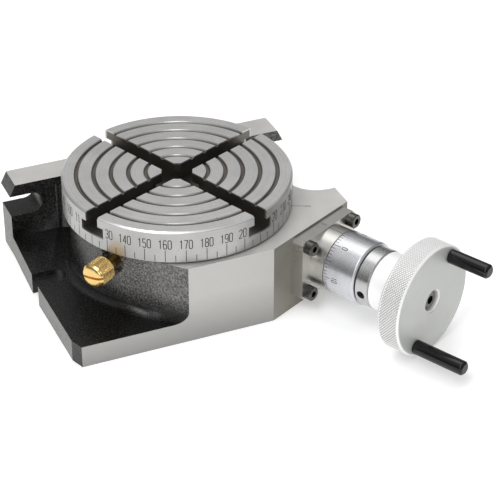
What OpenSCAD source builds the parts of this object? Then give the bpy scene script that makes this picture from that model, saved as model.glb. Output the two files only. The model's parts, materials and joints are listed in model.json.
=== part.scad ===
// Small rotary indexing table: a T-slotted disc on a cast base, turned by a worm and
// worm wheel from a knurled handwheel. Millimetres. The origin is on the underside of
// the base, on the axis of the table. X runs along the machined front face, Y points to
// the back flange, Z is up.

/* [Table] */
// Diameter of the table disc
table_d = 110; // [104:0.5:112]
// Thickness of the table disc
table_t = 16; // [14:0.5:20]
// Number of ring grooves in the top
groove_count = 5; // [0:1:5]
// Distance from one ring groove to the next
groove_pitch = 8.24; // [7:0.01:8.5]
// Radius of the innermost ring groove
groove_r0 = 14.9; // [13:0.1:15]
// Width of a ring groove
groove_w = 2; // [1:0.1:2.5]
// Depth of a ring groove
groove_depth = 1.2; // [0.6:0.1:1.5]
// Diameter of the plain centre hole
centre_hole_d = 14.8; // [12:0.2:17]
// Angle of the first T-slot from the X axis
slot_angle = 23; // [0:1:89]

/* [T-slots] */
// Width of the neck of a T-slot
neck_w = 8; // [6:0.5:10]
// Width of the wide part of a T-slot
tee_w = 14.5; // [12:0.5:16]
// Depth of the neck
neck_depth = 5; // [4:0.5:6]
// Height of the wide part
tee_h = 5.5; // [4:0.5:6]

/* [Base] */
// Height of the body and of the back flange
base_h = 40; // [40:0.5:44]
// Thickness of the foot plate
plate_t = 11; // [9:0.5:12]
// Distance from the table axis to the left side
base_left = 72; // [70:1:76]
// Distance from the table axis to the right side
base_right = 75; // [73:1:77]
// Distance from the table axis to the front face
base_front = 57; // [56.5:0.5:58]
// Distance from the table axis to the back face
base_back = 60; // [58:1:62]
// Thickness of the back flange
flange_t = 15; // [12:1:16]
// Radius of the round body
body_r = 52; // [51:0.5:53]
// Width of the four open-ended clamping slots
u_w = 11; // [9:0.5:12]
// Length of a clamping slot, from the side to its round end
u_len = 15; // [13:0.5:16]

/* [Worm gear] */
// Module of the worm and the wheel
gear_m = 0.7; // [0.7:0.1:0.7]
// Number of teeth on the wheel
wheel_teeth = 72; // [72:1:72]
// Pitch radius of the worm
worm_pitch_r = 5; // [5:0.1:5.2]
// Length of the threaded part of the worm, in turns
worm_turns = 10; // [8:1:10]
// Height of the worm axis over the underside
worm_z = 23; // [22.5:0.5:23.5]
// Direction in which the worm shaft leaves the base, from the X axis
worm_angle = -63; // [-64:0.5:-62]
// Distance along the worm axis from the mesh point to the machined end face
end_face = 62.4; // [61.5:0.1:63]

/* [Handwheel and dial] */
// Diameter of the handwheel rim
wheel_d = 54.6; // [50:0.2:60]
// Width of the handwheel rim
rim_w = 12; // [10:0.5:14]
// Diameter of the handles
handle_d = 7; // [6:0.5:8]
// Length of the longer handle, outside the rim
long_handle_l = 27.6; // [22:0.1:32]
// Length of the shorter handle, outside the rim
short_handle_l = 21.7; // [18:0.1:30]
// Direction of the shorter handle round the shaft, from horizontal
handle_angle = 57; // [0:1:90]
// Diameter of the graduated dial
dial_d = 31.4; // [30:0.1:32]

/* [Lock screw] */
// Height of the lock screw over the underside
lock_z = 33.5; // [33:0.5:33.5]
// Direction of the lock screw, from the X axis
lock_angle = -147; // [-150:1:-144]
// Diameter of the knurled head
lock_head_d = 12; // [11:0.5:12]

/* [Hidden] */

eps = 0.01;
run = 0.03;                 // radial clearance of a running fit
fit = 0.02;                 // radial clearance of a fixed fit
$fn = 72;

// Heights of the table group
table_gap = 1;
table_bottom = base_h + table_gap;
table_top = table_bottom + table_t;
slot_floor = table_top - neck_depth - tee_h;
hub_r = 16;
hub_shoulder = 27.2;        // underside of the wide part of the hub
seat_r = 13;                // seat of the worm wheel
seat_bottom = 19;
nut_thread_r = 12;
hub_bottom = 11.5;

// Worm and wheel
gear_pitch = PI * gear_m;
wheel_pitch_r = wheel_teeth * gear_m / 2;
centre_distance = wheel_pitch_r + worm_pitch_r;
lead_angle = atan(gear_m / (2 * worm_pitch_r));
pressure_angle = 20;
flank_play = 0.06;          // taken off each flank of the worm and of the wheel
wheel_tip_r = wheel_pitch_r + gear_m;
wheel_root_r = wheel_pitch_r - 1.25 * gear_m;
worm_tip_r = worm_pitch_r + gear_m;
worm_root_r = worm_pitch_r - 1.28 * gear_m;
face_w = 6;
cavity_r = wheel_tip_r + 1.6;
cavity_top = hub_shoulder + 0.4;
cover_r = 33;
cover_t = 3;
cover_recess = 4;           // depth of the cover's seat in the underside
cover_screw_r = 29.6;       // circle of the cover's screws

// Places along the worm axis, from the mesh point outwards
shaft_r = 5;
end_journal_r = 4;
end_journal = [-22, -12];
thread_len = worm_turns * gear_pitch;
core = [-thread_len / 2 - 1, thread_len / 2 + 1];
collar_z = [14.4, 17.4];
collar_r = 8;
carrier_inner = 19;
carrier_r = 12;
bush_r = 7;
carrier_plate_t = 6.4;
carrier_plate = [32, 40];   // height and width of the square plate
boss_r = 15.4;
boss_end = end_face + 14.6;
dial_end = end_face + 32.4;
ring_start = dial_end + 0.3;
ring_end = end_face + 40;
ring_r = 14.6;
sleeve_r = 8;
hub_start = ring_end + 0.1;
rim_start = end_face + 55;
rim_end = rim_start + rim_w;
wheel_seat_r = 4;
shaft_end = end_face + 60;
wheel_hub_r = 14.3;
recess_depth = 6.6;         // recess for the handwheel screw

screw_r = 2;                // M4 cap screws of the carrier
screw_places = [16.1, 12.5];
handle_circle_r = 22.4;
spring_pocket = [8.3, 12.5, 1.2];

// Lock screw, along its own axis from the table axis
lock_head = [57.7, 68];
lock_shank_r = 3;
pad = [hub_r + 0.35, 22.4];

// A point of the end-face line, at the given X
function end_line_y(x) = (end_face - x * cos(worm_angle)) / sin(worm_angle);
// A point of the end-face line, at the given Y
function end_line_x(y) = (end_face - y * sin(worm_angle)) / cos(worm_angle);

// Puts its children on the worm axis: their Z is the way the shaft leaves the base,
// their X points down and their Y away from the table axis.
module on_worm(z = 0) {
    rotate([0, 0, worm_angle]) translate([0, centre_distance, worm_z])
        rotate([0, 90, 0]) translate([0, 0, z]) children();
}

// Puts its children on the axis of the lock screw, their Z pointing outwards
module on_lock(z = 0) {
    rotate([0, 0, lock_angle]) translate([0, 0, lock_z]) rotate([0, 90, 0])
        translate([0, 0, z]) children();
}

// A ring from one height to another
module tube(r_out, r_in, z0, z1) {
    difference() {
        translate([0, 0, z0]) cylinder(r = r_out, h = z1 - z0);
        translate([0, 0, z0 - 1]) cylinder(r = r_in, h = z1 - z0 + 2);
    }
}

// A rod from one height to another, with a chamfer at its far end
module rod(r, z0, z1, chamfer = 0) {
    translate([0, 0, z0]) cylinder(r = r, h = z1 - z0 - chamfer);
    if (chamfer > 0)
        translate([0, 0, z1 - chamfer]) cylinder(r1 = r, r2 = r - chamfer, h = chamfer);
}

// A hexagon socket, cut downwards from the given height
module hex_socket(across, depth, z) {
    translate([0, 0, z - depth]) cylinder(r = across / sqrt(3), h = depth + 1, $fn = 6);
}

// A socket-head cap screw, its head resting at Z = 0
module cap_screw(r, length) {
    difference() {
        union() {
            rod(1.75 * r, 0, 2 * r, 0.2 * r);
            translate([0, 0, -length]) cylinder(r = r, h = length + eps);
        }
        hex_socket(1.5 * r, 1.1 * r, 2 * r);
    }
}

// The four corners of the carrier plate's screw pattern
module at_carrier_screws() {
    for (down = [-1, 1], across = [-1, 1])
        translate([down * screw_places[1], across * screw_places[0], 0]) children();
}

// ---- Base ----

block_left = -17;
relief_r = 14.8;            // hollow behind the worm block, round the right clamping slot
relief_at = [71, -2.7];
block_back = relief_at[1] - relief_r;
fillet_r = 5;
u_y = 4;                    // the foot's clamping slots lie a little behind the table axis
flange_u_z = 28.4;
flange_left = base_left - 1.6;

// Angle at which the straight wall leaves the round body for the block's front corner
corner_angle = atan2(-base_front, block_left);
corner_dist = norm([block_left, base_front]);
tangent_angle = corner_angle - acos(body_r / corner_dist);
tangent_point = body_r * [cos(tangent_angle), sin(tangent_angle)];

module plate_outline() {
    polygon([
        [-base_left + 2.5, -base_front], [end_line_x(-base_front), -base_front],
        [base_right, end_line_y(base_right)], [base_right, base_back],
        [-flange_left, base_back], [-flange_left, base_back - flange_t],
        [-base_left - 0.5, 0], [-base_left, -base_front + 7]]);
}

module body_outline() {
    circle(r = body_r);
    difference() {
        polygon([
            [0, 0], tangent_point, [block_left, -base_front],
            [end_line_x(-base_front), -base_front],
            [base_right, end_line_y(base_right)], [base_right, block_back],
            [relief_at[0], block_back - 0.5], [relief_at[0], 0], [body_r - 4, 4]]);
        translate(relief_at) circle(r = relief_r);
    }
}

// The back flange, drawn from its front: its upper corners are cut back
module back_flange() {
    drop = 6;
    back = 3;
    translate([0, base_back, 0]) rotate([90, 0, 0]) linear_extrude(flange_t)
        polygon([
            [-flange_left, 0], [base_right, 0], [base_right, base_h - drop],
            [base_right - back, base_h], [-flange_left + back, base_h],
            [-flange_left, base_h - drop]]);
}

// An open-ended slot as a flat shape: its mouth at X = 0, its round end at X = u_len
module u_shape() {
    r = u_w / 2;
    translate([-5, -r]) square([u_len - r + 5, u_w]);
    translate([u_len - r, 0]) circle(r = r);
}

module foot_slots() {
    translate([-base_left, u_y, -1]) linear_extrude(plate_t + 2) u_shape();
    translate([base_right, u_y, -1]) mirror([1, 0, 0])
        linear_extrude(plate_t + 2) u_shape();
}

module flange_slots() {
    translate([-base_left, base_back + 1, flange_u_z]) rotate([90, 0, 0])
        linear_extrude(flange_t + 2) translate([3, 0]) u_shape();
    translate([base_right, base_back + 1, flange_u_z]) rotate([90, 0, 0])
        linear_extrude(flange_t + 2) mirror([1, 0, 0]) u_shape();
}

// The hollow-sided section of the cove, its upright side at X = -1. It stands proud of
// the wall and of the plate by a small lip.
module cove_section() {
    lip = 0.05;
    translate([-1, plate_t - 1]) difference() {
        square(fillet_r + 1 + lip);
        translate([fillet_r + 1 + lip, fillet_r + 1 + lip]) circle(r = fillet_r, $fn = 40);
    }
}

// The cove between the body and the foot plate on the right, from one angle to another
module right_cove(from, to) {
    rotate([0, 0, from]) rotate_extrude(angle = to - from, $fn = 96)
        translate([body_r, 0]) cove_section();
}

// The same cove on the left: round the body as far as the given angle, and along the
// straight wall to the front face
module left_cove(from) {
    wall = norm([block_left, -base_front] - tangent_point);
    rotate([0, 0, tangent_angle]) mirror([0, 1, 0]) {
        rotate_extrude(angle = tangent_angle + 360 - from, $fn = 96)
            translate([body_r, 0]) cove_section();
        translate([body_r, 0, 0]) rotate([90, 0, 0])
            linear_extrude(wall + 12) cove_section();
    }
}

// The cast fillet that fills the upright corner between the flange and the round body.
// It meets both with a small lip, and stays below their machined top.
module corner_fillet() {
    r = 8;
    lip = 0.05;
    y = base_back - flange_t - r;
    x = -sqrt(pow(body_r + r, 2) - y * y);
    inside = 0.98 * body_r / (body_r + r);
    linear_extrude(base_h - 4) difference() {
        polygon([[x, y + r + 1], [x, y], [x * inside, y * inside], [0, y], [0, y + r + 1]]);
        translate([x, y]) circle(r = r - lip);
    }
}

// The hollows for the table's hub, the worm wheel and its cover
module spindle_hollows() {
    translate([0, 0, -1]) cylinder(r = 19.02, h = base_h + 2);
    translate([0, 0, base_h - 1]) cylinder(r = 30, h = 2);
    translate([0, 0, -1]) cylinder(r = cavity_r, h = cavity_top + 1);
    translate([0, 0, -1]) cylinder(r = cover_r + 0.1, h = cover_recess + 1);
    at_cover_screws() cylinder(r = 1.5, h = cover_recess + 6.5);
}

// The bores for the worm, its carrier and its end bush
module worm_hollows() {
    on_worm(carrier_inner - 3) cylinder(r = carrier_r + fit, h = end_face);
    on_worm(-12.5) cylinder(r = 9, h = carrier_inner + 12.5);
    on_worm(-23.5) cylinder(r = 6 + fit, h = 12);
    on_worm(end_face - 13) at_carrier_screws() cylinder(r = screw_r + fit, h = 14);
}

module lock_hollows() {
    on_lock(15) cylinder(r = lock_shank_r + fit, h = 40);
    on_lock(48) cylinder(r = 6, h = 20);
}

module base_casting() {
    color("dimgray") difference() {
        union() {
            difference() {
                union() {
                    linear_extrude(plate_t) plate_outline();
                    right_cove(-20, 65);
                    intersection() {
                        left_cove(110);
                        linear_extrude(base_h) plate_outline();
                    }
                }
                foot_slots();
            }
            linear_extrude(base_h) body_outline();
            back_flange();
            corner_fillet();
        }
        flange_slots();
        spindle_hollows();
        worm_hollows();
        lock_hollows();
    }
}

// ---- Pieces fixed to the base ----

module at_cover_screws() {
    for (turn = [80, 200, 320])
        rotate([0, 0, turn]) translate([cover_screw_r, 0, 0]) children();
}

module bottom_cover() {
    low = cover_recess - cover_t;
    color("silver") difference() {
        translate([0, 0, low]) cylinder(r = cover_r, h = cover_t);
        translate([0, 0, low - 1]) cylinder(r = 10, h = cover_t + 2);
        at_cover_screws() {
            translate([0, 0, low - 1]) cylinder(r = 1.7, h = cover_t + 2);
            translate([0, 0, low - 0.1]) cylinder(r1 = 2.8, r2 = 1.6, h = 1.2);
        }
    }
}

module cover_screws() {
    low = cover_recess - cover_t;
    color("darkgray") at_cover_screws() translate([0, 0, low]) difference() {
        union() {
            translate([0, 0, 0.05]) cylinder(r1 = 2.6, r2 = 1.48, h = 1.12);
            translate([0, 0, 1]) cylinder(r = 1.48, h = 8);
        }
        translate([-3, -0.35, -1]) cube([6, 0.7, 1.6]);
    }
}

module spindle_bush() {
    color("goldenrod") difference() {
        tube(19, hub_r + run, cavity_top + 0.1, base_h - 1);
        on_lock(10) cylinder(r = lock_shank_r + fit, h = 20);
    }
}

module table_thrust_washer() {
    color("goldenrod") tube(29.8, hub_r + 1, base_h - 1 + eps, table_bottom - 0.03);
}

module worm_carrier() {
    bevel = 1.6;
    half = carrier_plate / 2;
    color("silver") difference() {
        union() {
            on_worm(end_face + eps) linear_extrude(carrier_plate_t) polygon([
                [-half[0], -half[1] + bevel], [-half[0] + bevel, -half[1]],
                [half[0] - bevel, -half[1]], [half[0], -half[1] + bevel],
                [half[0], half[1] - bevel], [half[0] - bevel, half[1]],
                [-half[0] + bevel, half[1]], [-half[0], half[1] - bevel]]);
            on_worm(carrier_inner) cylinder(r = carrier_r, h = end_face - carrier_inner + 1);
            on_worm(end_face + 1) cylinder(r = boss_r, h = boss_end - end_face - 1);
        }
        on_worm() cylinder(r = shaft_r + 1, h = 90);
        on_worm(carrier_inner - 1) cylinder(r = bush_r + fit, h = 13);
        on_worm(boss_end - 13) cylinder(r = bush_r + fit, h = 14);
        on_worm(boss_end - 1.5) cylinder(r = 9.2, h = 2);
        on_worm(end_face - 1) at_carrier_screws() cylinder(r = screw_r + 0.25, h = 10);
    }
}

module carrier_screws() {
    color("dimgray") on_worm(end_face + carrier_plate_t + 2 * eps) at_carrier_screws()
        cap_screw(screw_r, 16);
}

module carrier_inner_bush() {
    color("goldenrod") on_worm()
        tube(bush_r, shaft_r + run, carrier_inner + 0.2, carrier_inner + 11.8);
}

module carrier_outer_bush() {
    color("goldenrod") on_worm() tube(bush_r, shaft_r + run, boss_end - 12.8, boss_end - 1.6);
}

module worm_end_bush() {
    color("goldenrod") on_worm() tube(6, end_journal_r + run, -23, end_journal[1] - 0.2);
}

module inner_thrust_washer() {
    color("goldenrod") on_worm()
        tube(collar_r, shaft_r + 0.1, collar_z[1] + 0.03, carrier_inner - 0.03);
}

module outer_thrust_washer() {
    color("goldenrod") on_worm() tube(9, shaft_r + 0.1, boss_end - 1.45, boss_end - 0.3);
}

// ---- Table ----

module t_slot() {
    length = table_d / 2 + 5;
    translate([0, -neck_w / 2, table_top - neck_depth - 1])
        cube([length, neck_w, neck_depth + 2]);
    translate([0, -tee_w / 2, slot_floor]) cube([length, tee_w, tee_h]);
}

module table_disc() {
    rim_edge = 0.8;
    rim_z = table_t - rim_edge;
    color("gainsboro") difference() {
        union() {
            translate([0, 0, table_bottom]) cylinder(r = table_d / 2, h = rim_z, $fn = 180);
            translate([0, 0, table_bottom + rim_z])
                cylinder(r1 = table_d / 2, r2 = table_d / 2 - rim_edge, h = rim_edge, $fn = 180);
            translate([0, 0, hub_shoulder]) cylinder(r = hub_r, h = table_bottom - hub_shoulder + 1);
            translate([0, 0, seat_bottom]) cylinder(r = seat_r, h = 10);
            translate([0, 0, hub_bottom]) cylinder(r = nut_thread_r, h = 10);
        }
        translate([0, 0, hub_bottom - 1])
            cylinder(r = centre_hole_d / 2, h = table_top - hub_bottom + 2);
        for (quarter = [0:3])
            rotate([0, 0, slot_angle + quarter * 90]) t_slot();
        for (i = [0:1:groove_count - 1])
            tube_groove(groove_r0 + i * groove_pitch);
        for (side = [0, 180])
            rotate([0, 0, slot_angle + 90 + side]) translate([26, 0, slot_floor - 4])
                cylinder(r = 3, h = 5);
        rotate([0, 0, key_angle]) key_slot(seat_r - 2, 6);
    }
}

// A ring groove of trapezium section, cut into the top
module tube_groove(r) {
    half = groove_w / 2;
    rotate_extrude($fn = 120) polygon([
        [r - half - 0.2, table_top + 0.2], [r - half + 0.3, table_top - groove_depth],
        [r + half - 0.3, table_top - groove_depth], [r + half + 0.2, table_top + 0.2]]);
}

key_angle = 150;
key_w = 4;

// The space of the worm wheel's key: a bar from radius r outwards
module key_slot(r, depth) {
    translate([r, -key_w / 2 - fit, seat_bottom - 1])
        cube([depth, key_w + 2 * fit, hub_shoulder - seat_bottom + 1]);
}

module worm_wheel() {
    half_gap = gear_pitch / 4 + flank_play;
    opening = pressure_angle + 90 / wheel_teeth;
    low = wheel_root_r;
    high = wheel_tip_r + 1;
    w_low = half_gap - (wheel_pitch_r - low) * tan(opening);
    w_high = half_gap + (high - wheel_pitch_r) * tan(opening);
    mesh_angle = worm_angle + 90;
    color("darkgoldenrod") difference() {
        union() {
            translate([0, 0, worm_z - face_w / 2]) cylinder(r = wheel_tip_r, h = face_w, $fn = 144);
            translate([0, 0, seat_bottom + 0.1])
                cylinder(r = 18.5, h = hub_shoulder - seat_bottom - 0.2);
        }
        translate([0, 0, seat_bottom - 1]) cylinder(r = seat_r + fit, h = 12);
        rotate([0, 0, key_angle]) key_slot(seat_r - 1, 3.2);
        for (i = [0:wheel_teeth - 1])
            rotate([0, 0, mesh_angle + i * 360 / wheel_teeth]) translate([0, 0, worm_z])
                rotate([-lead_angle, 0, 0]) translate([0, 0, -face_w])
                    linear_extrude(2 * face_w)
                        polygon([[low, -w_low], [high, -w_high], [high, w_high], [low, w_low]]);
    }
}

module worm_wheel_key() {
    color("darkgray") rotate([0, 0, key_angle])
        translate([seat_r - 1.9, -key_w / 2, seat_bottom + 0.2])
            cube([4, key_w, hub_shoulder - seat_bottom - 0.4]);
}

module spindle_nut() {
    top = seat_bottom;
    bottom = top - 7;
    color("darkgray") difference() {
        tube(18.5, nut_thread_r + fit, bottom, top);
        for (turn = [0:90:270])
            rotate([0, 0, turn]) translate([15.5, -2, bottom - 1]) cube([5, 4, 4]);
        rotate([0, 0, 45]) translate([0, 0, top - 3.5]) rotate([0, 90, 0])
            cylinder(r = 1.52, h = 30);
    }
}

module nut_lock_screw() {
    color("dimgray") rotate([0, 0, 45]) translate([nut_thread_r + 0.1, 0, seat_bottom - 3.5])
        rotate([0, 90, 0]) difference() {
            cylinder(r = 1.5, h = 5.5);
            hex_socket(1.5, 2, 5.5);
        }
}

// ---- Worm, handwheel and dial ----

// The threaded core of the worm as one closed solid. The thread has a trapezium
// section, its crest faces the wheel at the mesh point, and it ends square.
thread_steps = 36;

module worm_thread() {
    half = gear_pitch / 4 - flank_play;
    w_tip = half - gear_m * tan(pressure_angle);
    w_root = half + (worm_pitch_r - worm_root_r) * tan(pressure_angle);
    offsets = [-w_root, -w_tip, w_tip, w_root];
    radii = [worm_root_r, worm_tip_r, worm_tip_r, worm_root_r];
    n = thread_steps;
    last = n * (worm_turns - 1);
    start_z = -last / n * gear_pitch / 2;
    phase = -90;            // the crest passes the wheel side at Z = 0
    turn_shift = (worm_turns - 1) * 180;
    rows = [for (i = [0:last], j = [0:3])
        let (a = phase - turn_shift + i * 360 / n, z = start_z + i * gear_pitch / n + offsets[j])
        [radii[j] * cos(a), radii[j] * sin(a), z]];
    low_ring = [for (k = [0:n - 1])
        let (a = phase - turn_shift + k * 360 / n)
        [worm_root_r * cos(a), worm_root_r * sin(a), core[0]]];
    high_ring = [for (k = [0:n - 1])
        let (a = phase - turn_shift + (last + k) * 360 / n)
        [worm_root_r * cos(a), worm_root_r * sin(a), core[1]]];
    function v(i, j) = 4 * i + j;
    lo = 4 * (last + 1);
    hi = lo + n;
    ridge = [for (i = [0:last - 1], j = [0:2], half_face = [0, 1])
        half_face == 0 ? [v(i, j), v(i, j + 1), v(i + 1, j + 1)]
                       : [v(i, j), v(i + 1, j + 1), v(i + 1, j)]];
    root = [for (i = [0:last - n - 1], half_face = [0, 1])
        half_face == 0 ? [v(i, 3), v(i + n, 0), v(i + n + 1, 0)]
                       : [v(i, 3), v(i + n + 1, 0), v(i + 1, 3)]];
    low_band = [for (k = [0:n - 2]) [lo + k, v(k, 0), v(k + 1, 0), lo + k + 1]];
    low_edge = [v(n - 1, 0), v(n, 0), v(0, 3), v(0, 0), lo];
    low_join = [for (k = [0:3]) [lo + n - 1, low_edge[k], low_edge[k + 1]]];
    first = last - n;
    high_band = [for (k = [1:n - 1])
        [v(first + k, 3), hi + k, hi + (k + 1) % n, v(first + k + 1, 3)]];
    high_edge = [v(first + 1, 3), v(first, 3), v(last, 0), v(last, 3), hi];
    high_join = [for (k = [0:3]) [hi + 1, high_edge[k], high_edge[k + 1]]];
    ends = [
        [v(0, 3), v(0, 2), v(0, 1), v(0, 0)],
        [v(last, 0), v(last, 1), v(last, 2), v(last, 3)],
        [for (k = [0:n - 1]) lo + k],
        [for (k = [n - 1:-1:0]) hi + k]];
    polyhedron(
        points = concat(rows, low_ring, high_ring),
        faces = concat(ridge, root, low_band, low_join, high_band, high_join, ends),
        convexity = 10);
}

module worm_shaft() {
    key_floor = wheel_seat_r - 1.3;
    color("silver") on_worm() difference() {
        union() {
            worm_thread();
            rod(end_journal_r, end_journal[0], core[0] + 0.5);
            rod(shaft_r, core[1] - 0.5, ring_end);
            rod(collar_r, collar_z[0], collar_z[1]);
            rod(wheel_seat_r, ring_end - 1, shaft_end, 0.5);
        }
        translate([-10 - key_floor, -1.5 - fit, ring_end + 2]) cube([10, 3 + 2 * fit, 11]);
        translate([0, 0, shaft_end - 14]) cylinder(r = 2.5, h = 15);
    }
}

module handwheel() {
    edge = 1;
    color("gainsboro") on_worm() difference() {
        union() {
            rod(wheel_hub_r, hub_start, rim_start + 1);
            translate([0, 0, rim_start]) cylinder(r1 = wheel_d / 2 - edge, r2 = wheel_d / 2, h = edge);
            rod(wheel_d / 2, rim_start + edge, rim_end, edge);
        }
        translate([0, 0, hub_start - 1]) cylinder(r = wheel_seat_r + fit, h = 40);
        translate([0, 0, rim_end - recess_depth]) cylinder(r = 5.2, h = recess_depth + 1);
        translate([0, 0, rim_end - 0.8]) cylinder(r1 = 5.2, r2 = 6.1, h = 0.81);
        translate([-5.6, -1.5 - fit, hub_start - 1]) cube([5, 3 + 2 * fit, 15]);
        for (side = [0, 180]) rotate([0, 0, side + handle_angle])
            translate([0, handle_circle_r, rim_start + 3]) cylinder(r = 2.5 + fit, h = 20);
    }
}

module handwheel_key() {
    color("darkgray") on_worm() translate([-5.4, -1.5, ring_end + 2.2]) cube([2.6, 3, 10.5]);
}

module handwheel_washer() {
    color("silver") on_worm()
        tube(4.9, 2.7, rim_end - recess_depth + eps, rim_end - recess_depth + 1);
}

module handwheel_screw() {
    color("dimgray") on_worm(rim_end - recess_depth + 1 + 2 * eps) difference() {
        union() {
            rod(4.2, 0, 4, 0.4);
            translate([0, 0, -14]) cylinder(r = 2.48, h = 14 + eps);
        }
        hex_socket(4, 2.5, 4);
    }
}

// A handle: a round bar with chamfered ends on a threaded stud
module handle(length, side) {
    r = handle_d / 2;
    color([0.05, 0.05, 0.05]) on_worm() rotate([0, 0, side + handle_angle])
        translate([0, handle_circle_r, rim_end + eps]) {
            cylinder(r1 = r - 0.4, r2 = r, h = 0.4);
            rod(r, 0.4, length, 1);
            translate([0, 0, -8]) cylinder(r = 2.5, h = 8 + eps);
        }
}

module long_handle() { handle(long_handle_l, 180); }

module short_handle() { handle(short_handle_l, 0); }

collar_screw_angle = -80;

module dial_collar() {
    color("silver") on_worm() difference() {
        union() {
            rod(sleeve_r, boss_end - 0.27, ring_start + 1);
            translate([0, 0, ring_start]) cylinder(r1 = ring_r - 0.5, r2 = ring_r, h = 0.5);
            rod(ring_r, ring_start + 0.5, ring_end, 0.5);
        }
        translate([0, 0, boss_end - 2]) cylinder(r = shaft_r + fit, h = 40);
        rotate([0, 0, collar_screw_angle]) translate([0, 0, (ring_start + ring_end) / 2])
            rotate([0, 90, 0]) cylinder(r = 2.1, h = 30);
    }
}

module collar_set_screw() {
    color("dimgray") on_worm() rotate([0, 0, collar_screw_angle])
        translate([0, 0, (ring_start + ring_end) / 2]) rotate([0, 90, 0])
            translate([0, 0, shaft_r + 0.05]) difference() {
                cylinder(r = 2.08, h = 6);
                hex_socket(2, 2.5, 6);
            }
}

module graduated_dial() {
    r = dial_d / 2;
    color("lightgray") on_worm() difference() {
        union() {
            translate([0, 0, boss_end + 0.25]) cylinder(r1 = r - 0.3, r2 = r, h = 0.3);
            rod(r, boss_end + 0.55, dial_end, 0.8);
        }
        translate([0, 0, boss_end]) cylinder(r = sleeve_r + run, h = 30);
        translate([0, 0, dial_end - spring_pocket[2]])
            cylinder(r = spring_pocket[1], h = spring_pocket[2] + 1);
    }
}

module dial_spring() {
    color("darkgray") on_worm() tube(spring_pocket[1] - 0.3, spring_pocket[0],
        dial_end - spring_pocket[2] + eps, ring_start - 0.02);
}

// ---- Table lock ----

module lock_pad() {
    color("goldenrod") on_lock() rod(lock_shank_r - 0.05, pad[0], pad[1]);
}

module lock_screw() {
    r = lock_head_d / 2;
    color("gold") on_lock() difference() {
        union() {
            rod(lock_shank_r - run, pad[1] + 0.03, lock_head[0] + 1);
            rod(r, lock_head[0], lock_head[1], 0.8);
        }
        rotate([0, 0, 92]) translate([-10, -0.6, lock_head[1] - 1.8]) cube([20, 1.2, 3]);
    }
}

base_casting();
bottom_cover();
cover_screws();
spindle_bush();
table_thrust_washer();
worm_carrier();
carrier_screws();
carrier_inner_bush();
carrier_outer_bush();
worm_end_bush();
inner_thrust_washer();
outer_thrust_washer();
table_disc();
worm_wheel();
worm_wheel_key();
spindle_nut();
nut_lock_screw();
worm_shaft();
handwheel();
handwheel_key();
handwheel_washer();
handwheel_screw();
long_handle();
short_handle();
dial_collar();
collar_set_screw();
graduated_dial();
dial_spring();
lock_pad();
lock_screw();
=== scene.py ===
import json
import math

import bmesh
import bpy
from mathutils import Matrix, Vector


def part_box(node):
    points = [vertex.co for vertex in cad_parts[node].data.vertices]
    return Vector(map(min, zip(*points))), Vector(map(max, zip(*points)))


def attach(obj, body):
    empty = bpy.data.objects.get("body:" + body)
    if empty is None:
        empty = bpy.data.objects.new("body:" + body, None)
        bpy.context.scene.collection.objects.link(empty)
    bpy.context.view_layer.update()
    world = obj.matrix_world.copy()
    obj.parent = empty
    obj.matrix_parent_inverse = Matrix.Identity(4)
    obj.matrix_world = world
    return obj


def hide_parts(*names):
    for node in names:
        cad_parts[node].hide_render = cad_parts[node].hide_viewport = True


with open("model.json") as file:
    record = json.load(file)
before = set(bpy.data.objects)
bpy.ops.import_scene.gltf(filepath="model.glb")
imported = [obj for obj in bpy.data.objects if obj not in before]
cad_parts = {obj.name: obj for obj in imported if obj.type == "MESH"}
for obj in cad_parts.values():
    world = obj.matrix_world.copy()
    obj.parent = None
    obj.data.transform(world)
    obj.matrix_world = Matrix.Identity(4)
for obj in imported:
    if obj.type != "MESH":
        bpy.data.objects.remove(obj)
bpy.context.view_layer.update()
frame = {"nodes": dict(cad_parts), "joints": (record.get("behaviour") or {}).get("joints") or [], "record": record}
MM = 0.001
CENTRE = Vector((0, 0, 0))             # the table axis, at the base's underside

# ---- Where things are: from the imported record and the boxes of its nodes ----

joints = {j["name"]: j for j in frame["joints"]}
mounts = {m["name"]: m for m in frame["record"]["mounts"]}
WORM_O = Vector(joints["worm_spin"]["pos_m"])       # point on the worm axis
WORM_N = Vector(joints["worm_spin"]["axis"]).normalized()
UP = Vector((0, 0, 1))
WORM_T = UP.cross(WORM_N).normalized()              # horizontal, away from the table axis
LOCK_N = Vector(joints["lock_travel"]["axis"]).normalized()
LOCK_Z = joints["lock_turn"]["pos_m"][2]
LOCK_T = UP.cross(LOCK_N).normalized()
LOCK_O = Vector((0, 0, LOCK_Z))         # where the lock screw's axis meets the table axis
T_SLOT = Vector(mounts["t_slots"]["axis"])


def extent(node, origin, axis):
    """Lowest and highest place of a node's vertices along an axis."""
    along = [(v.co - origin).dot(axis) for v in frame["nodes"][node].data.vertices]
    return min(along), max(along)


def radius(node, origin, axis):
    """Largest distance of a node's vertices from an axis."""
    far = 0
    for v in frame["nodes"][node].data.vertices:
        d = v.co - origin
        far = max(far, (d - axis * d.dot(axis)).length)
    return far


def round_worm(angle, r, along):
    """A point round the worm axis: angle 0 is horizontal and away from the table, 90 degrees is up."""
    a = math.radians(angle)
    return WORM_O + WORM_N * along + (WORM_T * math.cos(a) + UP * math.sin(a)) * r


def round_lock(angle, r, along):
    """A point round the lock screw's axis, in the same way."""
    a = math.radians(angle)
    return LOCK_O + LOCK_N * along + (LOCK_T * math.cos(a) + UP * math.sin(a)) * r


# ---- Materials ----

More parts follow.
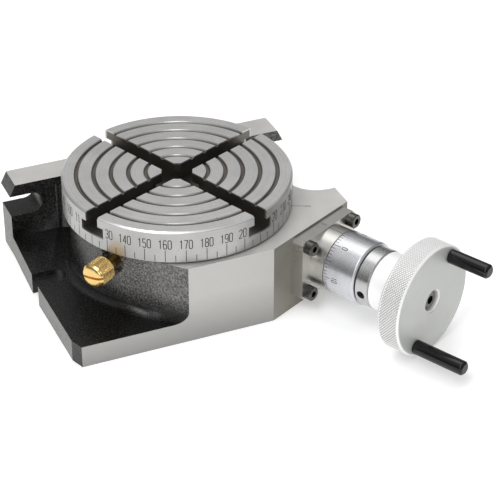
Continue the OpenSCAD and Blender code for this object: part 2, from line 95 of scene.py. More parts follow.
class Nodes:
    """Short calls for the nodes of one material."""

    def __init__(self, name):
        self.mat = bpy.data.materials.new(name)
        self.mat.use_nodes = True
        self.tree = self.mat.node_tree
        self.bsdf = self.tree.nodes["Principled BSDF"]
        self.place = self.add("ShaderNodeTexCoord").outputs["Object"]

    def add(self, kind, links=None, **props):
        node = self.tree.nodes.new(kind)
        for key, value in props.items():
            setattr(node, key, value)
        for key, value in (links or {}).items():
            socket = node.inputs[key]
            if isinstance(value, bpy.types.NodeSocket):
                self.tree.links.new(value, socket)
            else:
                socket.default_value = value
        return node

    def math(self, op, a, b=0.0, c=0.0):
        return self.add("ShaderNodeMath", {0: a, 1: b, 2: c}, operation=op).outputs[0]

    def vec(self, op, a, b=(0, 0, 0), out="Vector"):
        return self.add("ShaderNodeVectorMath", {0: a, 1: b}, operation=op).outputs[out]

    def noise(self, vector, scale, detail=3.0, rough=0.6):
        return self.add("ShaderNodeTexNoise", {"Vector": vector, "Scale": scale, "Detail": detail,
                                               "Roughness": rough}).outputs["Fac"]

    def line_noise(self, w, scale, detail=4.0):
        return self.add("ShaderNodeTexNoise", {"W": w, "Scale": scale, "Detail": detail},
                        noise_dimensions="1D").outputs["Fac"]

    def stretch(self, scale, rotation=(0, 0, 0)):
        return self.add("ShaderNodeMapping", {"Vector": self.place, "Scale": scale,
                                              "Rotation": rotation}).outputs["Vector"]

    def ramp(self, fac, stops):
        node = self.add("ShaderNodeValToRGB", {"Fac": fac})
        while len(node.color_ramp.elements) < len(stops):
            node.color_ramp.elements.new(0.5)
        for element, (at, colour) in zip(node.color_ramp.elements, stops):
            element.position = at
            element.color = (*colour, 1)
        return node.outputs["Color"]

    def remap(self, fac, low, high, a=0.3, b=0.7):
        return self.add("ShaderNodeMapRange", {"Value": fac, "From Min": a, "From Max": b,
                                               "To Min": low, "To Max": high}).outputs["Result"]

    def mix(self, fac, a, b):
        node = self.add("ShaderNodeMix", data_type="RGBA")
        for index, value in ((0, fac), (6, a), (7, b)):
            if isinstance(value, bpy.types.NodeSocket):
                self.tree.links.new(value, node.inputs[index])
            elif index:
                node.inputs[index].default_value = (*value, 1)
            else:
                node.inputs[index].default_value = value
        return node.outputs[2]

    def finish(self, colour, rough, height=None, strength=0.3, distance=0.0002, metallic=1.0,
               specular=0.5):
        link = self.tree.links.new
        link(colour, self.bsdf.inputs["Base Color"])
        link(rough, self.bsdf.inputs["Roughness"])
        self.bsdf.inputs["Metallic"].default_value = metallic
        self.bsdf.inputs["Specular IOR Level"].default_value = specular
        self.bsdf.inputs["Coat Weight"].default_value = 0.0
        self.bsdf.inputs["Coat Roughness"].default_value = 0.15
        if height is not None:
            bump = self.add("ShaderNodeBump", {"Height": height, "Strength": strength,
                                               "Distance": distance})
            link(bump.outputs["Normal"], self.bsdf.inputs["Normal"])
        return self.mat


def around(n, origin, axis):
    """Distance along an axis and distance from it, in metres, as two sockets."""
    rel = n.vec("SUBTRACT", n.place, tuple(origin))
    along = n.vec("DOT_PRODUCT", rel, tuple(axis), "Value")
    on_axis = n.add("ShaderNodeVectorMath", {0: tuple(axis), "Scale": along}, operation="SCALE")
    off = n.vec("SUBTRACT", rel, on_axis.outputs["Vector"])
    return along, n.vec("LENGTH", off, out="Value")


def shade(colour, k):
    return tuple(min(1.0, c * k) for c in colour)


def turned(name, colour, rough, origin, axis, ring_scale=9000, contrast=0.12):
    """Metal turned in a lathe: fine rings round an axis, stains and tiny scratches."""
    n = Nodes(name)
    along, off = around(n, origin, axis)
    rings = n.line_noise(n.math("ADD", along, off), ring_scale)
    cloud = n.noise(n.place, 90, 5)
    scratch = n.noise(n.stretch((1, 1, 6), (0.3, 0.2, 0.5)), 900, 2)
    tone = n.math("ADD", n.math("MULTIPLY", rings, 0.5), n.math("MULTIPLY", cloud, 0.5))
    col = n.ramp(tone, [(0.25, shade(colour, 1 - contrast)), (0.75, shade(colour, 1 + contrast))])
    r = n.remap(n.math("ADD", rings, n.math("MULTIPLY", scratch, 0.4)), rough * 0.8, rough * 1.25,
                0.5, 0.95)
    return n.finish(col, r, rings, 0.25, 0.00004, 1.0)


def ground(name, colour, rough, across_lines, contrast=0.09, metallic=0.9, fade=0.0):
    """Metal ground or milled: fine lines at right angles to a direction, and painted shade that darkens it low
    down by fade.
    """
    n = Nodes(name)
    across = n.vec("DOT_PRODUCT", n.place, tuple(across_lines), "Value")
    lines = n.line_noise(across, 3500, 5)
    cloud = n.noise(n.place, 45, 5)
    speck = n.noise(n.place, 1500, 2)
    tone = n.math("ADD", n.math("MULTIPLY", lines, 0.35), n.math("MULTIPLY", cloud, 0.65))
    col = n.ramp(tone, [(0.3, shade(colour, 1 - contrast)), (0.7, shade(colour, 1 + contrast))])
    col = n.mix(n.remap(speck, 0, 0.35, 0.66, 0.76), col, shade(colour, 0.55))
    # painted shade: the colour darkens towards black within 24 mm of the underside, by up to fade
    if fade:
        z = n.vec("DOT_PRODUCT", n.place, (0, 0, 1), "Value")
        col = n.mix(n.remap(z, fade, 0, 0, 24 * MM), col, (0, 0, 0))
    return n.finish(col, n.remap(cloud, rough * 0.85, rough * 1.2), lines, 0.2, 0.00005, metallic)


def cast_paint():
    """Dark hammered paint on a sand casting: black on the foot, speckled grey up the wall, with painted shade
    darkening the wall towards the left.
    """
    n = Nodes("cast_paint")
    grain = n.noise(n.place, 1100, 3, 0.7)
    coarse = n.noise(n.place, 260, 4)
    cloud = n.noise(n.place, 30, 3)
    z = n.vec("DOT_PRODUCT", n.place, (0, 0, 1), "Value")
    x = n.vec("DOT_PRODUCT", n.place, (1, -0.35, 0), "Value")
    up = n.remap(n.math("ADD", z, n.math("MULTIPLY", cloud, 8 * MM)), 0, 1, 17 * MM, 27 * MM)
    # painted shade: the grey wall turns black towards the left
    side = n.remap(n.math("ADD", x, n.math("MULTIPLY", cloud, 12 * MM)), 0.1, 1, -46 * MM, -26 * MM)
    grey_paint_and_shade = n.math("MULTIPLY", up, side)
    black = n.ramp(grain, [(0.4, (0.001, 0.001, 0.001)), (0.66, (0.010, 0.0095, 0.009))])
    grey = n.ramp(grain, [(0.38, (0.05, 0.049, 0.047)), (0.5, (0.12, 0.118, 0.114)),
                          (0.62, (0.24, 0.236, 0.23))])
    height = n.math("ADD", n.math("MULTIPLY", grain, 0.6), coarse)
    return n.finish(n.mix(grey_paint_and_shade, black, grey), n.remap(grain, 0.2, 0.34), height, 0.6, 0.0003, 0.05, 0.42)


def side_iron():
    """The rough grey of the unpainted left side, partly darkened by painted shade."""
    n = Nodes("side_iron")
    grain = n.noise(n.place, 1300, 3, 0.7)
    cloud = n.noise(n.place, 60, 4)
    tone = n.math("ADD", n.math("MULTIPLY", grain, 0.6), n.math("MULTIPLY", cloud, 0.4))
    # partly painted shade: this grey is kept darker than the machined faces because the left side lies in shade
    col = n.ramp(tone, [(0.38, (0.13, 0.13, 0.128)), (0.62, (0.31, 0.31, 0.30))])
    return n.finish(col, n.remap(cloud, 0.42, 0.6), grain, 0.4, 0.0002, 0.35, 0.4)


def plain(name, colour, rough, metallic, scale=700, contrast=0.2, strength=0.25, specular=0.5):
    """A fine-grained, slightly clouded surface."""
    n = Nodes(name)
    grain = n.noise(n.place, scale, 4)
    cloud = n.noise(n.place, scale / 12, 3)
    tone = n.math("ADD", n.math("MULTIPLY", grain, 0.5), n.math("MULTIPLY", cloud, 0.5))
    col = n.ramp(tone, [(0.3, shade(colour, 1 - contrast)), (0.7, shade(colour, 1 + contrast))])
    return n.finish(col, n.remap(cloud, rough * 0.8, rough * 1.2), grain, strength, 0.00005,
                    metallic, specular)


def table_iron():
    """The turned disc: fine rings on top, brown stain in the grooves and slots."""
    n = Nodes("table_iron")
    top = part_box("table_disc")[1].z
    _, off = around(n, CENTRE, UP)
    z = n.vec("DOT_PRODUCT", n.place, (0, 0, 1), "Value")
    rings = n.line_noise(n.math("ADD", off, n.math("MULTIPLY", z, 0.7)), 6000)
    cloud = n.noise(n.place, 60, 5)
    nick = n.noise(n.place, 420, 3)
    tone = n.math("ADD", n.math("MULTIPLY", rings, 0.4), n.math("MULTIPLY", cloud, 0.6))
    col = n.ramp(tone, [(0.3, (0.60, 0.595, 0.585)), (0.7, (0.80, 0.795, 0.785))])
    col = n.mix(n.remap(nick, 0, 0.6, 0.70, 0.78), col, (0.16, 0.14, 0.12))
    # painted shade: the disc's side is darker than the lands
    on_side = n.math("MULTIPLY", n.math("GREATER_THAN", off, RIM_R - 0.3 * MM),
                     n.math("LESS_THAN", z, top - 0.6 * MM))
    col = n.mix(n.math("MULTIPLY", on_side, 0.42), col, (0.05, 0.05, 0.05))
    # below the top and inside the rim the metal is raw and stained
    depth = n.remap(z, 1, 0, top - 1.0 * MM, top - 0.25 * MM)
    inside = n.remap(off, 1, 0, (RIM_R - 1.2 * MM), (RIM_R - 0.4 * MM))
    low = n.math("MULTIPLY", depth, inside)
    stain = n.mix(cloud, (0.075, 0.066, 0.056), (0.27, 0.25, 0.225))
    col = n.mix(low, col, stain)
    return n.finish(col, n.remap(rings, 0.27, 0.42), rings, 0.25, 0.00005, 0.92)


def wheel_aluminium():
    """Satin aluminium: a bright knurl with painted shade in its grooves, and a slightly greener outer face
    darkened by painted shade.
    """
    n = Nodes("wheel_aluminium")
    along, off = around(n, WORM_O, WORM_N)
    rings = n.line_noise(n.math("ADD", along, off), 2600)
    cloud = n.noise(n.place, 55, 4)
    tone = n.math("ADD", n.math("MULTIPLY", rings, 0.4), n.math("MULTIPLY", cloud, 0.6))
    face = n.ramp(tone, [(0.3, (0.53, 0.54, 0.52)), (0.7, (0.60, 0.61, 0.59))])
    rim = n.ramp(tone, [(0.3, (0.92, 0.92, 0.92)), (0.7, (0.97, 0.97, 0.97))])
    outer = extent("handwheel", WORM_O, WORM_N)[1]
    # painted shade: the outer face is much darker than the near-white rim and hub
    col = n.mix(n.remap(along, 0, 1, outer - 0.35 * MM, outer - 0.1 * MM), rim, face)
    rim_r = radius("handwheel", WORM_O, WORM_N)
    # painted shade: the knurl's grooves are darkened, more so deeper in each groove
    in_groove = n.remap(off, 1, 0, rim_r - 0.34 * MM, rim_r - 0.06 * MM)
    on_knurl = n.math("MULTIPLY", n.math("GREATER_THAN", off, rim_r - 0.72 * MM),
                      n.math("LESS_THAN", along, outer - 0.8 * MM))
    col = n.mix(n.math("MULTIPLY", in_groove, n.math("MULTIPLY", on_knurl, 0.75)), col,
                (0.30, 0.30, 0.295))
    return n.finish(col, n.remap(rings, 0.36, 0.52), rings, 0.08, 0.00004, 0.22)


RIM_R = radius("table_disc", CENTRE, UP)
MAT = {
    "cast_body": cast_paint(),
    "table_iron": table_iron(),
    # the machined faces carry painted shade, darker low down (fade)
    "machined": ground("machined", (0.50, 0.495, 0.48), 0.45, (0.85, 0.25, 0.46), 0.08, 0.7,
                       fade=0.4),
    "machined_top": ground("machined_top", (0.64, 0.63, 0.61), 0.45, (0.3, 0.95, 0), 0.09, 0.6),
    "machined_end": ground("machined_end", (0.25, 0.236, 0.21), 0.45, (0, 0, 1), 0.2, 0.7),
    "side_iron": side_iron(),
    "ground_steel": ground("ground_steel", (0.58, 0.57, 0.54), 0.3, WORM_N, 0.12, 1.0),
    "turned_steel": turned("turned_steel", (0.52, 0.52, 0.52), 0.26, WORM_O, WORM_N),
    "dial_steel": turned("dial_steel", (0.62, 0.625, 0.65), 0.3, WORM_O, WORM_N, 7000, 0.14),
    "dark_steel": plain("dark_steel", (0.11, 0.107, 0.102), 0.25, 1.0, 900, 0.35, 0.3),
    "key_steel": plain("key_steel", (0.42, 0.42, 0.43), 0.35, 1.0),
    "bronze": turned("bronze", (0.55, 0.36, 0.16), 0.32, CENTRE, UP, 5000),
    "brass": turned("brass", (0.80, 0.56, 0.22), 0.24, LOCK_O, LOCK_N, 7000, 0.14),
    "wheel_aluminium": wheel_aluminium(),
    "handle_black": plain("handle_black", (0.0025, 0.0025, 0.003), 0.11, 0.0, 500, 0.3, 0.05, 0.42),
    "engraving": plain("engraving", (0.045, 0.04, 0.036), 0.6, 0.0, 1200, 0.3, specular=0.2),
    "fine_engraving": plain("fine_engraving", (0.03, 0.03, 0.034), 0.6, 0.0, 1200, 0.3, specular=0.2),
}

# ---- Mesh helpers ----


def piece(name, bm, mat, body, slot, replaces=(), smooth=35, extra_mats=()):
    """Turns a bmesh into a piece that rides on a body."""
    bmesh.ops.recalc_face_normals(bm, faces=bm.faces)
    mesh = bpy.data.meshes.new(name)
    bm.to_mesh(mesh)
    bm.free()
    obj = bpy.data.objects.new(name, mesh)
    bpy.context.scene.collection.objects.link(obj)
    for m in (mat, *extra_mats):
        mesh.materials.append(MAT[m])
    mesh.shade_smooth()
    mesh.set_sharp_from_angle(angle=math.radians(smooth))
    flat = obj.modifiers.new("flat_faces_stay_flat", "WEIGHTED_NORMAL")
    flat.keep_sharp = True
    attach(obj, body)
    if replaces:
        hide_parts(*replaces)
    return obj


def grid(bm, rows, close_u=True, close_v=False):
    """Faces between rows of points. close_u joins each row's ends, close_v the first and last row."""
    verts = [[bm.verts.new(p) for p in row] for row in rows]
    count, width = len(verts), len(verts[0])
    for i in range(count if close_v else count - 1):
        for j in range(width if close_u else width - 1):
            a, b = verts[i], verts[(i + 1) % count]
            k = (j + 1) % width
            bm.faces.new((a[j], a[k], b[k], b[j]))
    return verts


# ---- Marks and numerals ----

DIGITS = {
    "0": [[(.12, 0), (.42, 0), (.54, .14), (.54, .86), (.42, 1), (.12, 1), (0, .86), (0, .14), (.12, 0)]],
    "1": [[(.1, .8), (.3, 1), (.3, 0)]],
    "2": [[(0, .82), (.12, 1), (.42, 1), (.54, .84), (.54, .66), (0, .06), (0, 0), (.54, 0)]],
    "3": [[(0, .88), (.12, 1), (.42, 1), (.54, .86), (.54, .64), (.4, .53), (.2, .53)],
          [(.4, .53), (.54, .42), (.54, .14), (.42, 0), (.12, 0), (0, .12)]],
    "4": [[(.42, 0), (.42, 1), (0, .28), (.56, .28)]],
    "5": [[(.5, 1), (.04, 1), (.04, .58), (.4, .6), (.54, .46), (.54, .14), (.42, 0), (.12, 0), (0, .12)]],
    "6": [[(.5, .9), (.4, 1), (.14, 1), (0, .86), (0, .14), (.12, 0), (.42, 0), (.54, .14), (.54, .44),
           (.42, .56), (.12, .56), (0, .46)]],
    "7": [[(0, 1), (.54, 1), (.2, 0)]],
    "8": [[(.14, .53), (.4, .53), (.52, .66), (.52, .87), (.4, 1), (.14, 1), (.02, .87), (.02, .66),
           (.14, .53)],
          [(.14, .53), (0, .4), (0, .14), (.12, 0), (.42, 0), (.54, .14), (.54, .4), (.4, .53)]],
    "9": [[(.04, .1), (.14, 0), (.4, 0), (.54, .14), (.54, .86), (.42, 1), (.12, 1), (0, .86), (0, .56),
           (.12, .44), (.42, .44), (.54, .54)]],
}


def stroke(bm, points, width, place, proud=0.015 * MM):
    """A closed bar along a flat line, laid on a surface by place(u, v, height)."""
    sunk, step = 0.12 * MM, 0.6 * MM
    fine = []
    for a, b in zip(points, points[1:]):
        a, b = Vector(a), Vector(b)
        parts = max(1, int((b - a).length / step))
        fine += [a.lerp(b, k / parts) for k in range(parts)]
    fine.append(Vector(points[-1]))
    closed = (fine[0] - fine[-1]).length < 1e-9
    if closed:
        fine.pop()
    count = len(fine)
    rows = []
    for i, p in enumerate(fine):
        before = fine[i - 1] if closed or i else p
        after = fine[(i + 1) % count] if closed or i < count - 1 else p
        d1, d2 = p - before, after - p
        d1 = (d1 if d1.length > 1e-12 else d2).normalized()
        d2 = (d2 if d2.length > 1e-12 else d1).normalized()
        mean = d1 + d2
        mean = mean.normalized() if mean.length > 1e-6 else d1
        side = Vector((-mean.y, mean.x))
        reach = width / 2 / max(0.5, side.dot(Vector((-d1.y, d1.x))))
        l, r = p + side * reach, p - side * reach
        rows.append([place(l.x, l.y, proud), place(r.x, r.y, proud),
                     place(r.x, r.y, -sunk), place(l.x, l.y, -sunk)])
    verts = grid(bm, rows, True, closed)
    if not closed:
        bm.faces.new(verts[0])
        bm.faces.new(verts[-1])


def number(bm, text, centre, height, width, place, aspect=0.62, room=None):
    """Digits side by side, centred on a point (u, v) at their foot. room says where a digit fits."""
    pitch = height * aspect * 0.78
    wide = height * aspect
    start = centre[0] - (pitch * (len(text) - 1) + wide * 0.54) / 2
    for k, ch in enumerate(text):
        left = start + k * pitch
        if room and not (room(left) and room(left + wide * 0.54)):
            continue
        for line in DIGITS[ch]:
            stroke(bm, [(left + x * wide, centre[1] + y * height) for x, y in line], width, place)


# ---- Copies of the CAD solids ----

WELD, FLAT, SHARP = 0.002 * MM, math.radians(0.3), math.radians(28)


def cleaned(node):
    """A bmesh of a CAD node, with its faces joined and its flat triangles merged."""
    bm = bmesh.new()
    bm.from_mesh(frame["nodes"][node].data)
    bmesh.ops.remove_doubles(bm, verts=bm.verts, dist=WELD)
    bmesh.ops.dissolve_limit(bm, angle_limit=FLAT, verts=bm.verts, edges=bm.edges)
    return bm


def refined(node, body, mat, slot, width):
    """A copy of a CAD node with its sharp edges rounded off."""
    bm = cleaned(node)
    sharp = [e for e in bm.edges if len(e.link_faces) == 2 and e.calc_face_angle(0) > SHARP]
    bmesh.ops.bevel(bm, geom=sharp, offset=width, segments=2, profile=0.5,
                    affect="EDGES", clamp_overlap=True)
    return piece(node + "_fine", bm, mat, body, slot, (node,))


# ---- Base ----

BASE_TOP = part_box("base_casting")[1].z
BASE_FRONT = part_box("base_casting")[0].y
END_FACE = extent("worm_carrier", WORM_O, WORM_N)     # inside end, outside end
# places in build_base's list of materials
PAINTED, MACHINED, ROUGH_SIDE, GROUND_TOP, WORM_END = range(5)


def base_face_kind(face):
    """Which of the base's materials a face wears."""
    c, n = face.calc_center_median(), face.normal
    if n.z < -0.9:
        return MACHINED
    if n.z > 0.9 and c.z > BASE_TOP - 0.2 * MM:
        return GROUND_TOP
    if n.y < -0.99 and c.y < BASE_FRONT + 0.2 * MM:
        return MACHINED
    if n.dot(WORM_N) > 0.99:
        return WORM_END
    if n.y > 0.99 and c.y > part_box("base_casting")[1].y - 0.2 * MM:
        return MACHINED
    if n.x < -0.97 and c.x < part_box("base_casting")[0].x + 3 * MM:
        return ROUGH_SIDE
    if n.x > 0.99 and c.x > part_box("base_casting")[1].x - 0.2 * MM:
        return MACHINED
    return PAINTED


def build_base():
    bm = cleaned("base_casting")
    for f in bm.faces:
        f.material_index = base_face_kind(f)
    return piece("base_fine", bm, "cast_body", "base", "cast_body", ("base_casting",),
                 extra_mats=("machined", "side_iron", "machined_top", "machined_end"))


build_base()

# ---- Table scale ----

SCALE_ZERO = 82.95                     # degrees from the X axis to the scale's zero
SCALE_MARKS, SCALE_STEP = 72, 5        # a mark every five degrees, a number at every second one
DISC_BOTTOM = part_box("table_thrust_washer")[1].z
SLOT_AT = math.degrees(math.atan2(T_SLOT.y, T_SLOT.x))
TEE_HALF = math.degrees(math.asin(7.6 * MM / RIM_R))


def on_rim(u, v, h):
    """u along the rim, v up from the disc's lower edge, h out of the rim."""
    a = u / RIM_R
    return Vector(((RIM_R + h) * math.cos(a), (RIM_R + h) * math.sin(a), DISC_BOTTOM + v))


def slot_distance(angle):
    """Degrees from the middle of the nearest T-slot."""
    return abs((angle - SLOT_AT + 45) % 90 - 45)


def beside_slot(u):
    return slot_distance(math.degrees(u / RIM_R)) > TEE_HALF + 0.15


def build_scale():
    bm = bmesh.new()
    for k in range(SCALE_MARKS):
        angle = SCALE_ZERO + SCALE_STEP * k
        u = math.radians(angle) * RIM_R
        tall = (6.4 if k % 2 == 0 else 3.7) * MM
        if slot_distance(angle) < TEE_HALF:
            tall = min(tall, 5.0 * MM)
        stroke(bm, [(u, 0.3 * MM), (u, tall)], 0.34 * MM, on_rim)
        if k % 2 == 0:
            number(bm, str(SCALE_STEP * k), (u, 7.2 * MM), 4.5 * MM, 0.42 * MM, on_rim, room=beside_slot)
    return piece("table_scale", bm, "engraving", "table", "dark_steel")


build_scale()

# ---- Handwheel: hub, and a rim with a real diamond knurl ----

WHEEL = extent("handwheel", WORM_O, WORM_N)
WHEEL_R = radius("handwheel", WORM_O, WORM_N)
RIM_W = 12 * MM
# radii in millimetres
BORE_R, HUB_R, HOLE_R, FACE_R = 4.05, 14.3, 5.2, 26.0


def knurled_rows(place, r, start, end, around_count, along_count, depth, border, per):
    """Rows of points over a cylinder with two crossing sets of grooves, fading out near its ends."""
    rows = []
    steps_along = along_count * per
    for i in range(steps_along + 1):
        along = start + (end - start) * i / steps_along
        fade = min(1, min(along - start, end - along) / border)
        row = []
        for j in range(around_count * per):
            u = j / per
            w = i / per
            a = abs((u + w) % 1 - 0.5) * 2
            b = abs((u - w) % 1 - 0.5) * 2
            cut = max(max(0, a * 2.5 - 1.5), max(0, b * 2.5 - 1.5))
            row.append(place(360 * u / around_count, r - depth * cut * fade, along))
        rows.append(row)
    return rows


def build_handwheel():
    around_count, along_count, per = 108, 8, 6          # diamonds round and along, steps in each
    steps = around_count * per
    bevel = 0.9 * MM
    back, rim0, rim1 = WHEEL[0] / MM, (WHEEL[1] - RIM_W) / MM, WHEEL[1] / MM
    section = [(BORE_R, back), (HUB_R - 0.4, back), (HUB_R, back + 0.4), (HUB_R, rim0 - 0.4),
               (HUB_R + 0.4, rim0), (FACE_R + 0.2, rim0), (FACE_R + 0.6, rim0 + 0.15)]
    closing = [(FACE_R + 0.7, rim1 - 0.25), (FACE_R + 0.35, rim1 - 0.03), (FACE_R, rim1),
               (HOLE_R + 0.9, rim1), (HOLE_R + 0.2, rim1 - 0.6), (HOLE_R, rim1 - 0.9),
               (HOLE_R, rim1 - 6.6), (BORE_R, rim1 - 6.6)]
    bm = bmesh.new()
    rows = [[round_worm(360 * j / steps, r * MM, a * MM) for j in range(steps)] for r, a in section]
    rows += knurled_rows(round_worm, WHEEL_R, WHEEL[1] - RIM_W + bevel, WHEEL[1] - bevel,
                         around_count, along_count, 0.6 * MM, 0.5 * MM, per)
    rows += [[round_worm(360 * j / steps, r * MM, a * MM) for j in range(steps)] for r, a in closing]
    grid(bm, rows, True, True)
    return piece("handwheel_knurled", bm, "wheel_aluminium", "worm", "wheel_aluminium",
                 ("handwheel",), smooth=20)


build_handwheel()

# ---- Lock screw: a knurled head with a screwdriver slot ----

LOCK = extent("lock_screw", LOCK_O, LOCK_N)         # inner and outer end
LOCK_R = radius("lock_screw", LOCK_O, LOCK_N)
SLOT_TURN = 8                          # degrees of the screwdriver slot from level
SLOT_HALF, SLOT_DEEP = 0.62 * MM, 1.9 * MM


def cut_slot(bm):
    """Sinks the screwdriver slot into the closed head, by splitting it along the slot's sides."""
    a = math.radians(SLOT_TURN)
    across = -LOCK_T * math.sin(a) + UP * math.cos(a)
    centre = LOCK_O + LOCK_N * LOCK[1]
    floor = centre - LOCK_N * SLOT_DEEP
    geom = bm.verts[:] + bm.edges[:] + bm.faces[:]
    bmesh.ops.bisect_plane(bm, geom=geom, plane_co=floor, plane_no=LOCK_N)
    for side in (-1, 1):
        geom = bm.verts[:] + bm.edges[:] + bm.faces[:]
        side_co = centre + across * side * SLOT_HALF
        bmesh.ops.bisect_plane(bm, geom=geom, plane_co=side_co, plane_no=across)
    eps = 0.001 * MM
    gone = [f for f in bm.faces if (f.calc_center_median() - floor).dot(LOCK_N) > eps
            and abs((f.calc_center_median() - centre).dot(across)) < SLOT_HALF - eps]
    bmesh.ops.delete(bm, geom=gone, context="FACES")
    rim = [e for e in bm.edges if e.is_boundary]
    # walls: each rim edge that stands above the floor is joined to its copy on the floor
    low = {}

    def foot(v):
        height = (v.co - floor).dot(LOCK_N)
        if height < eps:
            return v
        if v not in low:
            low[v] = bm.verts.new(v.co - LOCK_N * height)
        return low[v]

    for e in rim:
        v, w = e.verts
        fv, fw = foot(v), foot(w)
        ring = [v, w] + [q for q in (fw, fv) if q not in (v, w)]
        if len(ring) > 2:
            bm.faces.new(ring)
    bmesh.ops.remove_doubles(bm, verts=[v for v in bm.verts if v.is_boundary], dist=0.0005 * MM)
    bmesh.ops.holes_fill(bm, edges=[e for e in bm.edges if e.is_boundary], sides=0)


def build_lock_screw():
    count, per, steps_along = 44, 4, 9
    steps = count * per
    head = 10.3 * MM
    low = LOCK[1] - head
    shank = 2.97 * MM
    bm = bmesh.new()
    rows = [[round_lock(360 * j / steps, r, a) for j in range(steps)]
            for r, a in ((shank, LOCK[0]), (shank, low), (LOCK_R * 0.93, low))]
    rows += knurled_rows(round_lock, LOCK_R, low + 0.4 * MM, LOCK[1] - 1.8 * MM, count, steps_along,
                         0.3 * MM, 0.5 * MM, per)
    dome = []
    for k in range(1, 9):
        a = math.radians(90 * k / 9)
        dome.append((LOCK_R * 0.95 * math.cos(a) ** 0.55, LOCK[1] - 1.7 * MM * (1 - math.sin(a))))
    rows += [[round_lock(360 * j / steps, r, a) for j in range(steps)] for r, a in dome]
    verts = grid(bm, rows)
    bm.faces.new(verts[0])
    bm.faces.new(verts[-1])
    cut_slot(bm)
    return piece("lock_screw_knurled", bm, "brass", "lock", "brass", ("lock_screw",), smooth=24)


build_lock_screw()

# ---- Dial marks, index marks ----

DIAL = extent("graduated_dial", WORM_O, WORM_N)
DIAL_R = radius("graduated_dial", WORM_O, WORM_N)
DIAL_MARKS, DIAL_ZERO = 60, 120        # divisions, and degrees round the worm axis to zero
BOSS_R, BOSS_L = 15.4 * MM, 8.2 * MM   # the carrier's round boss
INDEX_TURN = math.radians(-27)         # the table's index line, square to the worm


def on_cylinder(r):
    def place(u, v, h):
        return round_worm(math.degrees(u / r), r + h, v)
    return place


def build_dial_marks():
    bm = bmesh.new()
    place = on_cylinder(DIAL_R)
    for k in range(DIAL_MARKS):
        u = math.radians(DIAL_ZERO + 360 * k / DIAL_MARKS) * DIAL_R
        tall = (4.4 if k % 10 == 0 else 3.4 if k % 5 == 0 else 2.3) * MM
        stroke(bm, [(u, DIAL[0] + 0.5 * MM), (u, DIAL[0] + tall)], 0.27 * MM, place, 0.01 * MM)
    for k in range(0, DIAL_MARKS, 10):
        u = math.radians(DIAL_ZERO + 360 * k / DIAL_MARKS) * DIAL_R
        number(bm, str(k), (u, DIAL[0] + 5.4 * MM), 2.9 * MM, 0.32 * MM, place, 0.7)
    return piece("dial_marks", bm, "fine_engraving", "dial", "dial_steel")


build_dial_marks()


def build_index_marks():
    bm = bmesh.new()
    boss = on_cylinder(BOSS_R)
    top = math.radians(90) * BOSS_R
    plate_out = END_FACE[1] - BOSS_L
    stroke(bm, [(top, plate_out + 0.4 * MM), (top, END_FACE[1] - 0.1 * MM)], 0.3 * MM, boss, 0.01 * MM)
    radial = Vector((math.cos(INDEX_TURN), math.sin(INDEX_TURN), 0))
    side = Vector((-radial.y, radial.x, 0))

    def on_block(u, v, h):
        return radial * v + side * u + UP * (BASE_TOP + h)

    stroke(bm, [(0, 53.2 * MM), (0, 61.2 * MM)], 0.28 * MM, on_block, 0.01 * MM)
    number(bm, "0", (0, 61.4 * MM), 2.4 * MM, 0.22 * MM, on_block, 0.7)
    plate_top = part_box("worm_carrier")[1].z

    def on_plate(u, v, h):
        return WORM_O + WORM_N * (END_FACE[1] - 14.6 * MM + v) - WORM_T * u \
            + UP * (plate_top - WORM_O.z + h)

    number(bm, "0", (0, 1.9 * MM), 2.4 * MM, 0.22 * MM, on_plate, 0.8)
    return piece("index_marks", bm, "engraving", "base", "dark_steel")


build_index_marks()

# ---- Finer copies of smaller nodes ----

REFINED = (                            # node, body, material, width of the broken edge in mm
    ("worm_carrier", "base", "ground_steel", 0.5),
    ("carrier_screws", "base", "dark_steel", 0.18),
    ("long_handle", "worm", "handle_black", 0.35),
    ("short_handle", "worm", "handle_black", 0.35),
    ("dial_collar", "worm", "turned_steel", 0.2),
    ("graduated_dial", "dial", "dial_steel", 0.25),
    ("table_disc", "table", "table_iron", 0.22))
slots = {p["node"]: p["material_slot"] for p in frame["record"]["subparts"]}
for node, body, mat, width in REFINED:
    refined(node, body, mat, slots[node], width * MM)

# The remaining CAD nodes keep their shape and get a finished material
replaced = {"base_casting", "handwheel", "lock_screw"} | {row[0] for row in REFINED}
for node, slot in slots.items():
    if node in replaced:
        continue
    data = frame["nodes"][node].data
    data.materials.clear()
    data.materials.append(MAT[slot])

# ---- Floor, lights, camera ----


def build_floor():
    """A white sheet, level under the base and sinking a little beneath the handwheel."""
    bm = bmesh.new()
    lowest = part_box("handwheel")[0].z
    centre = WORM_O + WORM_N * (WHEEL[1] - RIM_W / 2)
    size, steps, dip_r = 3.0, 240, 0.058
    fine = []
    for i in range(steps + 1):
        t = 2 * i / steps - 1
        fine.append(size / 2 * t * (0.12 + 0.88 * t * t))
    rows = []
    for y in fine:
        row = []
        for x in fine:
            away = math.hypot(x - centre.x, y - centre.y)
            d = max(0.0, 1 - away / dip_r)
            dip = d * d * (3 - 2 * d)
            row.append(Vector((x, y, -0.02 * MM + (lowest - 0.5 * MM) * min(1, dip * 3.2))))
        rows.append(row)
    grid(bm, rows, False)
    mesh = bpy.data.meshes.new("floor")
    bm.to_mesh(mesh)
    bm.free()
    mesh.shade_smooth()
    obj = bpy.data.objects.new("floor", mesh)
    bpy.context.scene.collection.objects.link(obj)
    n = Nodes("floor")
    n.bsdf.inputs["Base Color"].default_value = (0.93, 0.93, 0.93, 1)
    n.bsdf.inputs["Roughness"].default_value = 0.9
    n.bsdf.inputs["Specular IOR Level"].default_value = 0.1
    n.bsdf.inputs["Emission Color"].default_value = (1, 1, 1, 1)
    n.bsdf.inputs["Emission Strength"].default_value = 0.22
    mesh.materials.append(n.mat)


build_floor()


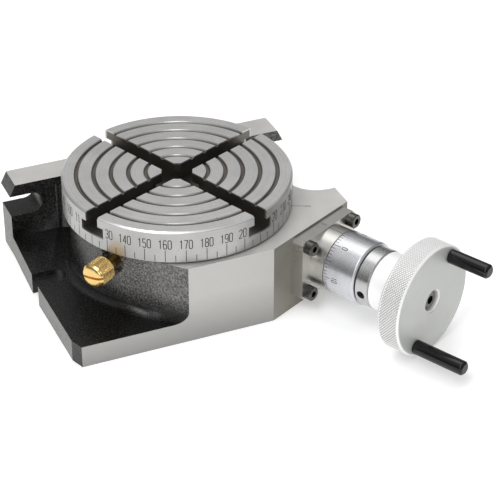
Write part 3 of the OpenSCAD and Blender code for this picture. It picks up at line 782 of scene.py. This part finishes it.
def area_light(name, at, aim, size, power):
    """A square soft light."""
    data = bpy.data.lights.new(name, "AREA")
    data.shape = "RECTANGLE"
    data.size = size
    data.size_y = size
    data.energy = power
    obj = bpy.data.objects.new(name, data)
    obj.location = at
    obj.rotation_euler = (Vector(aim) - Vector(at)).to_track_quat("-Z", "Y").to_euler()
    bpy.context.scene.collection.objects.link(obj)


area_light("key", (-0.45, -0.35, 0.85), (0.03, 0, 0), 0.5, 4.0)
area_light("top", (0.1, 0.25, 0.95), (0.03, 0, 0), 0.8, 2.6)
area_light("front", (-0.35, -0.95, 0.4), (0.0, -0.03, 0.02), 0.35, 1.7)

# a studio that darkens towards the horizon gives the round metal its bands: (height, grey)
SKY = ((0.0, 0.16), (0.2, 0.2), (0.5, 0.5), (1.0, 1.0))
world = bpy.data.worlds.new("studio")
world.use_nodes = True
sky = world.node_tree
direction = sky.nodes.new("ShaderNodeTexCoord").outputs["Generated"]
split = sky.nodes.new("ShaderNodeSeparateXYZ")
sky.links.new(direction, split.inputs["Vector"])
bands = sky.nodes.new("ShaderNodeValToRGB")
for at, level in SKY[1:-1]:
    bands.color_ramp.elements.new(at)
for element, (at, level) in zip(bands.color_ramp.elements, SKY):
    element.color = (level, level, level, 1)
sky.links.new(split.outputs["Z"], bands.inputs["Fac"])
sky.links.new(bands.outputs["Color"], sky.nodes["Background"].inputs["Color"])
sky.nodes["Background"].inputs["Strength"].default_value = 0.8
bpy.context.scene.world = world
bpy.context.scene.view_settings.view_transform = "Standard"

AZIMUTH, ELEVATION, DISTANCE, LENS = -23.08, 32.8, 0.9493, 137.5
TARGET = Vector((0.03775, 0.0, 0.00279))
az, el = math.radians(AZIMUTH), math.radians(ELEVATION)
back = Vector((math.sin(az) * math.cos(el), -math.cos(az) * math.cos(el), math.sin(el)))
camera_data = bpy.data.cameras.new("camera")
camera_data.sensor_width = 36
camera_data.lens = LENS
camera_data.clip_end = 20
camera = bpy.data.objects.new("camera", camera_data)
camera.location = TARGET + back * DISTANCE
camera.rotation_euler = (-back).to_track_quat("-Z", "Y").to_euler()
bpy.context.scene.collection.objects.link(camera)
bpy.context.scene.camera = camera
